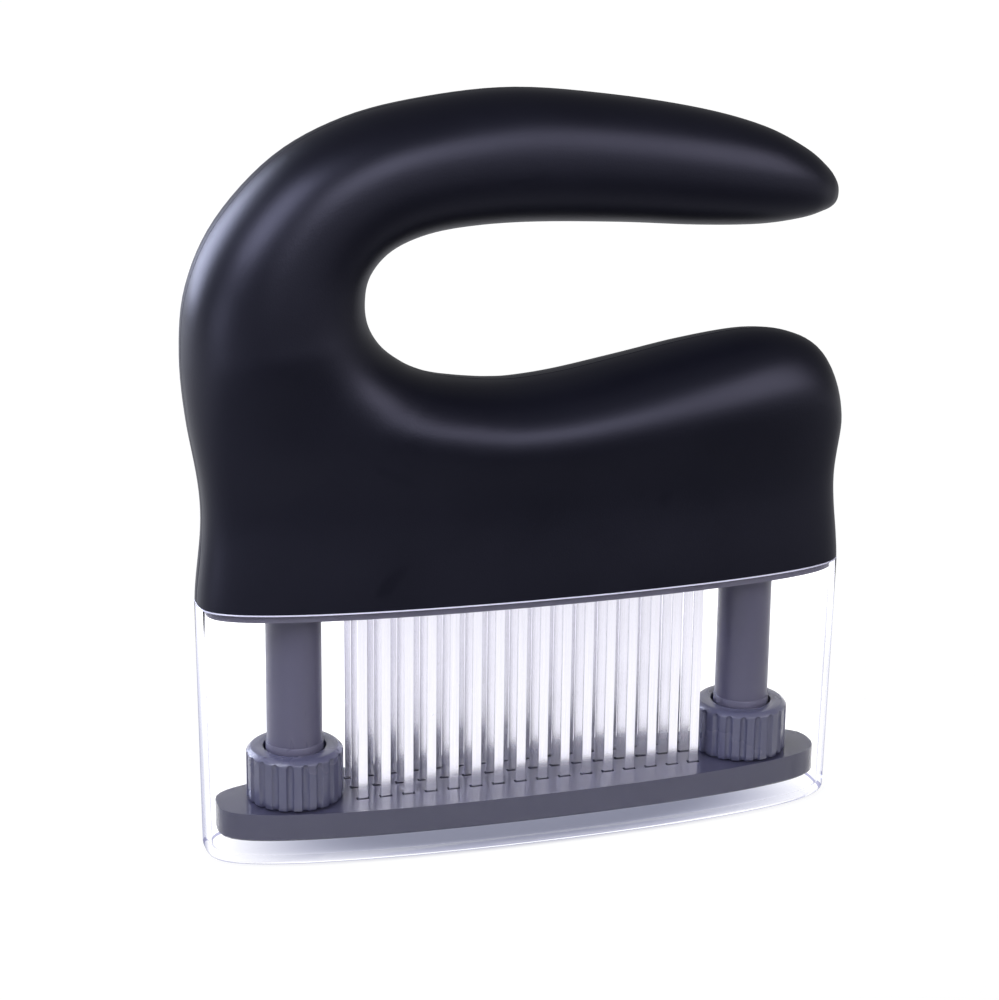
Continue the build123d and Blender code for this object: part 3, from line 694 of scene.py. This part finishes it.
# Nuts: two ribbed union nuts that hold the foot plate to the posts. They are undone by hand
# so that the plate comes off for washing.
nut_radius = 10.75
nut_low, nut_high = 11.55, 23.35
nut_grooves = 20
groove_depth = 0.65
groove_width = 0.46
groove_run_out = 0.7
grooved_radius = 10.3
groove_top = nut_high - 0.8
nut_profile = [
    (8.6, nut_low), (10.4, nut_low), (nut_radius, nut_low + 0.35), (nut_radius, 13),
    (nut_radius, 15), (nut_radius, 17), (nut_radius, 19), (nut_radius, 20.6),
    (nut_radius, 21.4), (nut_radius, 21.9), (nut_radius, nut_high - 1.1),
    (10.7, nut_high - 1.0), (10.62, groove_top - 0.08), (10.55, groove_top),
    (10.42, groove_top + 0.15), (10.2, nut_high - 0.45), (9.95, nut_high - 0.2),
    (9.75, nut_high - 0.06), (9.55, nut_high), (7.25, nut_high), (7.05, nut_high - 0.08),
    (7.0, nut_high - 0.3), (7.0, 19.85), (8.6, 19.85), (8.6, nut_low),
]


def ribbed_nut(x):
    """A turned nut with its grooves pressed in between the ribs."""
    built = turned(nut_profile, 0, steps=12 * nut_grooves)
    for vert in built.verts:
        spot = vert.co / mm
        radius = sqrt(spot.x ** 2 + spot.y ** 2)
        if radius < grooved_radius or spot.z > groove_top + 0.05:
            continue
        angle = (Vector((spot.x, spot.y)).angle_signed(Vector((1, 0))) / (2 * pi)) % 1
        turn = (angle * nut_grooves) % 1
        across = min(turn, 1 - turn) * 2
        width = groove_width * sqrt(max(0, min(1, (groove_top - spot.z) / groove_run_out)))
        dip = sqrt(max(0, 1 - (across / width) ** 2)) if across < width else 0
        shrink = 1 - groove_depth * dip * width / groove_width / radius
        vert.co.x *= shrink
        vert.co.y *= shrink
    bmesh.ops.translate(built, verts=built.verts, vec=(x * mm, 0, 0))
    return built


nut_plastic = plastic(
    "nut_plastic", (0.086, 0.087, 0.148), (0.104, 0.105, 0.174), rough=0.26,
    rough_spread=0.05, specular=0.45, grain_scale=1100, grain_depth=0.00002, marks=0.10,
    coat=0.15)
for side, x in (("left", -post_x), ("right", post_x)):
    nut = place_mesh(f"{side}_ribbed_nut", ribbed_nut(x), 50)
    nut.data.materials.append(nut_plastic)
    fit(nut, f"{side}_nut", f"{side}_nut", f"{side}_nut")

# Blades: three rows of sixteen narrow strips of stainless steel, punched with a wider head
# and ground to a slanted chisel tip. They hang in the holder and run through the foot.
blade_half_width, blade_half_thickness = 1.1, 0.3
head_half_width = 1.8
blade_low, blade_high = 6.6, 71.2
head_low = 69.8
tip_height, tip_slant, tip_half_edge = 2.4, 0.77, 0.05
blade_corner = 0.07


def blade_row(y):
    """One row of blades as a single mesh."""
    row = bmesh.new()
    outline = [
        (-blade_half_width, blade_low + tip_slant), (blade_half_width, blade_low),
        (blade_half_width, head_low), (head_half_width, head_low),
        (head_half_width, blade_high), (-head_half_width, blade_high),
        (-head_half_width, head_low), (-blade_half_width, head_low),
    ]
    strip = [row.verts.new((px * mm, (y - blade_half_thickness) * mm, pz * mm))
             for px, pz in outline]
    face = row.faces.new(strip)
    grown = bmesh.ops.extrude_face_region(row, geom=[face])["geom"]
    bmesh.ops.translate(row, verts=[v for v in grown if isinstance(v, bmesh.types.BMVert)],
                        vec=(0, 2 * blade_half_thickness * mm, 0))
    for side in (-1, 1):
        edge_normal = Vector((0, side * tip_height, -(blade_half_thickness - tip_half_edge)))
        spot = Vector((0, y + side * blade_half_thickness, blade_low + tip_height)) * mm
        cut = bmesh.ops.bisect_plane(
            row, geom=[*row.verts, *row.edges, *row.faces], dist=1e-7, plane_co=spot,
            plane_no=edge_normal, clear_outer=True)
        ground = [e for e in cut["geom_cut"] if isinstance(e, bmesh.types.BMEdge)]
        bmesh.ops.holes_fill(row, edges=ground)
    bmesh.ops.recalc_face_normals(row, faces=row.faces)
    sharp = [e for e in row.edges if e.is_manifold and e.calc_face_angle() > 0.6
             and min(v.co.z for v in e.verts) > (blade_low + 1) * mm]
    bmesh.ops.bevel(row, geom=sharp, offset=blade_corner * mm, segments=1, affect="EDGES",
                    profile=0.5, material=-1)
    one = [*row.verts, *row.edges, *row.faces]
    bmesh.ops.translate(row, verts=row.verts, vec=(slot_columns[0] * mm, 0, 0))
    for x in slot_columns[1:]:
        copy = bmesh.ops.duplicate(row, geom=one)["geom"]
        verts = [item for item in copy if isinstance(item, bmesh.types.BMVert)]
        bmesh.ops.translate(row, verts=verts, vec=((x - slot_columns[0]) * mm, 0, 0))
    return row


blade_steel = steel("blade_steel", (0.80, 0.79, 0.86), 0.24, 2600, 45, 0.00002)
for name, y in zip(("front", "middle", "rear"), slot_rows):
    blades = place_mesh(f"{name}_blades", blade_row(y), 20)
    blades.data.materials.append(blade_steel)
    fit(blades, "handle", f"{name}_blade_row", f"{name}_blade_row")

# Cover: a thin cup moulded in clear styrene that pushes on over the skirt, guards the blades
# and is the stand of the stored tool. It narrows a little downwards to leave its mould.
cover_high = 58.2
cover_wall = 1.3
cover_floor = 1.8
cover_draft = 0.7
cover_radius = 1.6
inner_radius = 1.0
lip_round, lip_turn = 0.35, 0.1
# Height up to which the cover's bottom corner carries painted shade.
corner_shade_high = 0.5
cover_points = 200


def cover_cup():
    """The cover's outer and inner walls, its rounded edges and its floor."""
    outline = plan_points(1, 1, cover_points)
    corner = [radians(a) for a in (0, 15, 30, 45, 60, 75, 90)]
    levels = [(cover_radius * (1 - cos(a)), cover_draft + cover_radius * (1 - sin(a)))
              for a in corner]
    levels += [(20, cover_draft * 0.65), (40, cover_draft * 0.3)]
    levels += [(cover_high - lip_round, 0), (cover_high - lip_turn, lip_turn),
               (cover_high, lip_round)]
    levels += [(cover_high, cover_wall - lip_round),
               (cover_high - lip_turn, cover_wall - lip_turn), (cover_high - lip_round, cover_wall)]
    levels += [(40, cover_wall + cover_draft * 0.3), (20, cover_wall + cover_draft * 0.65)]
    levels += [(cover_floor + inner_radius * (1 - sin(a)),
                cover_wall + cover_draft + inner_radius * (1 - cos(a))) for a in corner]
    cup = loft([[Vector((p.x * (rim_half_length - inset), p.y * (rim_half_depth - inset), z)) * mm
                 for p in outline] for z, inset in levels])
    bmesh.ops.holes_fill(cup, edges=[edge for edge in cup.edges if edge.is_boundary])
    bmesh.ops.recalc_face_normals(cup, faces=cup.faces)
    return cup


def clear_plastic(name, flat_tint):
    """A clear moulded plastic that lets lamps shine through it, with painted shade that makes it
    faintly blue on edge.
    """
    material = bpy.data.materials.new(name)
    material.use_nodes = True
    tree = material.node_tree
    shader = tree.nodes["Principled BSDF"]
    shader.inputs["Transmission Weight"].default_value = 1.0
    shader.inputs["IOR"].default_value = 1.045
    # Painted edge shade: the colour turns dark blue where the faces turn away from view, and so
    # draws the outline of the clear walls.
    grazing = tree.nodes.new("ShaderNodeLayerWeight")
    grazing.inputs["Blend"].default_value = 0.5
    rim = tree.nodes.new("ShaderNodeMapRange")
    rim.inputs["From Min"].default_value = 0.55
    rim.inputs["From Max"].default_value = 0.96
    join(tree, grazing.outputs["Facing"], rim.inputs["Value"])
    tint = tree.nodes.new("ShaderNodeMix")
    tint.data_type = "RGBA"
    tint.inputs["A"].default_value = (*flat_tint, 1)
    tint.inputs["B"].default_value = (0.05, 0.06, 0.24, 1)
    join(tree, rim.outputs["Result"], tint.inputs["Factor"])
    join(tree, tint.outputs["Result"], shader.inputs["Base Color"])
    surface = tree.nodes.new("ShaderNodeGroup")
    surface.node_tree = moulded
    surface.inputs["Grain per metre"].default_value = 60
    surface.inputs["Marks"].default_value = 0.02
    haze = tree.nodes.new("ShaderNodeMapRange")
    haze.inputs["To Min"].default_value = 0.0
    haze.inputs["To Max"].default_value = 0.02
    join(tree, surface.outputs["Cloud"], haze.inputs["Value"])
    join(tree, haze.outputs["Result"], shader.inputs["Roughness"])
    ray = tree.nodes.new("ShaderNodeLightPath")
    unseen = tree.nodes.new("ShaderNodeMath")
    unseen.operation = "MAXIMUM"
    join(tree, ray.outputs["Is Shadow Ray"], unseen.inputs[0])
    join(tree, ray.outputs["Is Diffuse Ray"], unseen.inputs[1])
    passing = tree.nodes.new("ShaderNodeBsdfTransparent")
    passing.inputs["Color"].default_value = (0.97, 0.97, 0.98, 1)
    mixed = tree.nodes.new("ShaderNodeMixShader")
    join(tree, unseen.outputs["Value"], mixed.inputs["Fac"])
    join(tree, shader.outputs["BSDF"], mixed.inputs[1])
    join(tree, passing.outputs["BSDF"], mixed.inputs[2])
    join(tree, mixed.outputs["Shader"], tree.nodes["Material Output"].inputs["Surface"])
    return material


clear_styrene = clear_plastic("clear_styrene", (0.99, 0.99, 1.0))
# The cover's lowest rounded corner is tinted dark blue-grey, painted shade that draws its bottom
# outline.
painted_shade_corner = clear_plastic("painted_shade_corner", (0.20, 0.20, 0.36))
# The cover's top lip is an opaque pale lilac plastic, a painted highlight where the clear edge
# catches the light.
painted_highlight_lip = plastic(
    "painted_highlight_lip", (0.72, 0.72, 0.93), (0.84, 0.84, 1.0), rough=0.25, rough_spread=0.05,
    specular=0.5, grain_scale=900, grain_depth=0.000005, marks=0.02)
cover = place_mesh("clear_cup", cover_cup(), 60)
for material in (clear_styrene, painted_highlight_lip, painted_shade_corner):
    cover.data.materials.append(material)
for face in cover.data.polygons:
    heights = [cover.data.vertices[index].co.z / mm for index in face.vertices]
    # Faces on the lip take the painted highlight.
    if min(heights) > cover_high - lip_round - 0.05:
        face.material_index = 1
    # Faces low on the rounded corner take the painted shade.
    elif min(heights) > 0.01 and max(heights) < corner_shade_high:
        face.material_index = 2
fit(cover, "cover", "clear_cover", "clear_cover")

# Stage: a pale floor that runs out into a white background, soft lamps round the object and the
# camera at the photograph's angle. Under the cover the floor carries a painted shadow; elsewhere it
# keeps only a faint real shadow from its matt part.
floor_build = bmesh.new()
floor_reach = 12000 * mm
floor_gap = 0.05 * mm
bmesh.ops.create_grid(floor_build, x_segments=1, y_segments=1, size=floor_reach)
bmesh.ops.translate(floor_build, verts=floor_build.verts, vec=(0, 0, -floor_gap))
floor = place_mesh("floor", floor_build)
pale = bpy.data.materials.new("pale_floor")
pale.use_nodes = True
tree = pale.node_tree
tree.nodes.remove(tree.nodes["Principled BSDF"])
matt = tree.nodes.new("ShaderNodeBsdfDiffuse")
glow = tree.nodes.new("ShaderNodeEmission")
place = tree.nodes.new("ShaderNodeTexCoord")


def figure(operation, first, second=None):
    """A math node of the tree that is being built, fed by sockets or by numbers."""
    node = tree.nodes.new("ShaderNodeMath")
    node.operation = operation
    for index, value in enumerate((first, second)):
        if isinstance(value, bpy.types.NodeSocket):
            join(tree, value, node.inputs[index])
        elif value is not None:
            node.inputs[index].default_value = value
    return node.outputs["Value"]


def ramp(value, from_min, from_max, to_min, to_max):
    """A smooth ramp of a value between two limits."""
    node = tree.nodes.new("ShaderNodeMapRange")
    node.interpolation_type = "SMOOTHSTEP"
    for label, number in (("From Min", from_min), ("From Max", from_max),
                          ("To Min", to_min), ("To Max", to_max)):
        node.inputs[label].default_value = number
    join(tree, value, node.inputs["Value"])
    return node.outputs["Result"]


axes = tree.nodes.new("ShaderNodeSeparateXYZ")
join(tree, place.outputs["Object"], axes.inputs["Vector"])
across_x = figure("DIVIDE", figure("ABSOLUTE", axes.outputs["X"]), rim_half_length * mm)
across_y = figure("DIVIDE", figure("ABSOLUTE", axes.outputs["Y"]), rim_half_depth * mm)
under = figure("ADD", figure("POWER", across_x, end_power), figure("POWER", across_y, side_power))


def length_from(x, y):
    """Distance of a floor point from the place x, y."""
    along = figure("POWER", figure("SUBTRACT", axes.outputs["X"], x), 2.0)
    over = figure("POWER", figure("SUBTRACT", axes.outputs["Y"], y), 2.0)
    return figure("SQRT", figure("ADD", along, over))


# A dark patch in front of the object is what its lower faces mirror, out of the camera's view.
dark_front = length_from(0.10, -0.42)
middle = length_from(0.0, 0.0)
join(tree, ramp(dark_front, 0.20, 0.42, 0.12, 0.62), matt.inputs["Color"])
seen = tree.nodes.new("ShaderNodeLightPath")
direct = figure("MAXIMUM", seen.outputs["Is Camera Ray"], seen.outputs["Is Transmission Ray"])
# Painted shadow: inside the cover's footprint the floor's glow falls to a twentieth of its strength
# and turns bluish.
shaded = ramp(under, 0.20, 1.05, 0.05, 1.0)
lit = figure("MULTIPLY", shaded, ramp(middle, 0.2, 1.0, 1.08, 1.13))
shade_tone = tree.nodes.new("ShaderNodeMix")
shade_tone.data_type = "RGBA"
shade_tone.inputs["A"].default_value = (0.74, 0.77, 1.0, 1)
shade_tone.inputs["B"].default_value = (1, 1, 1, 1)
join(tree, shaded, shade_tone.inputs["Factor"])
join(tree, shade_tone.outputs["Result"], glow.inputs["Color"])
bright = figure("MAXIMUM", ramp(middle, 0.1, 0.2, 0.36, 0.0),
                ramp(dark_front, 0.42, 0.6, 0.0, 0.8))
mirrored = figure("MULTIPLY", seen.outputs["Is Glossy Ray"], bright)
join(tree, figure("ADD", figure("MULTIPLY", direct, lit), mirrored), glow.inputs["Strength"])
blend = tree.nodes.new("ShaderNodeMixShader")
join(tree, figure("ADD", figure("MULTIPLY", direct, 0.4), 0.5), blend.inputs["Fac"])
join(tree, matt.outputs["BSDF"], blend.inputs[1])
join(tree, glow.outputs["Emission"], blend.inputs[2])
join(tree, blend.outputs["Shader"], tree.nodes["Material Output"].inputs["Surface"])
floor.data.materials.append(pale)

world = bpy.data.worlds.new("studio")
bpy.context.scene.world = world
world.use_nodes = True
tree = world.node_tree
backdrop = tree.nodes["Background"]
seen = tree.nodes.new("ShaderNodeLightPath")
direct = figure("MAXIMUM", seen.outputs["Is Camera Ray"], seen.outputs["Is Transmission Ray"])
place = tree.nodes.new("ShaderNodeTexCoord")
axes = tree.nodes.new("ShaderNodeSeparateXYZ")
join(tree, place.outputs["Generated"], axes.inputs["Vector"])
# The background is white to the camera, dim to the object and a little brighter low down
# where the object mirrors it.
backdrop.inputs["Color"].default_value = (1, 1, 1, 1)
level = ramp(axes.outputs["Z"], 0.1, 0.6, 0.16, 0.02)
mirrored = figure("MULTIPLY", seen.outputs["Is Glossy Ray"], level)
either = figure("ADD", figure("MULTIPLY", direct, 0.92), mirrored)
join(tree, figure("ADD", either, 0.08), backdrop.inputs["Strength"])

# Each lamp: name, place and size in metres, watts and colour.
lamp_aim = Vector((0, 0, 0.09))
lamps = [
    ("left_lamp", (-0.65, -0.37, 0.72), 0.50, 6.2, (0.90, 0.92, 1.0)),
    ("low_left_lamp", (-0.92, -0.26, 0.08), 0.45, 1.2, (0.88, 0.91, 1.0)),
    ("front_lamp", (0.04, -0.96, 0.60), 0.46, 3.5, (0.97, 0.97, 1.0)),
    ("right_lamp", (0.62, -0.66, 0.52), 0.60, 3.2, (1.0, 0.97, 1.0)),
    ("rim_lamp", (-0.66, 0.80, 0.40), 0.60, 8.5, (0.76, 0.81, 1.0)),
]
for name, place, size, watts, colour in lamps:
    light = bpy.data.lights.new(name, "AREA")
    light.size, light.energy, light.color = size, watts, colour
    lamp = bpy.data.objects.new(name, light)
    lamp.location = place
    lamp.rotation_euler = (lamp_aim - Vector(place)).to_track_quat("-Z", "Y").to_euler()
    bpy.context.scene.collection.objects.link(lamp)

# The camera was fitted to the photograph: its place in metres, its focal length and the
# centre of the view in pixels.
camera_place = Vector((-0.16045, -0.49086, 0.22732))
view_back = Vector((-0.29924, -0.91543, 0.26916)).normalized()
camera_roll = 0.92
focal_pixels, centre_x, centre_y = 2420.32, 527.93, 468.23
image_width, image_height = 999, 1000
right = Vector((0, 0, 1)).cross(view_back).normalized()
up = view_back.cross(right)
turn = radians(camera_roll)
right, up = cos(turn) * right + sin(turn) * up, cos(turn) * up - sin(turn) * right
lens = bpy.data.cameras.new("photo_camera")
sensor_width = 36
lens.sensor_width = sensor_width
lens.lens = sensor_width * focal_pixels / image_height
lens.shift_x = (image_width / 2 - centre_x) / image_height
lens.shift_y = (centre_y - image_height / 2) / image_height
camera = bpy.data.objects.new("photo_camera", lens)
camera.matrix_world = Matrix((
    (right.x, up.x, view_back.x, camera_place.x),
    (right.y, up.y, view_back.y, camera_place.y),
    (right.z, up.z, view_back.z, camera_place.z),
    (0, 0, 0, 1)))
bpy.context.scene.collection.objects.link(camera)
bpy.context.scene.camera = camera
bpy.context.scene.view_settings.view_transform = "Standard"
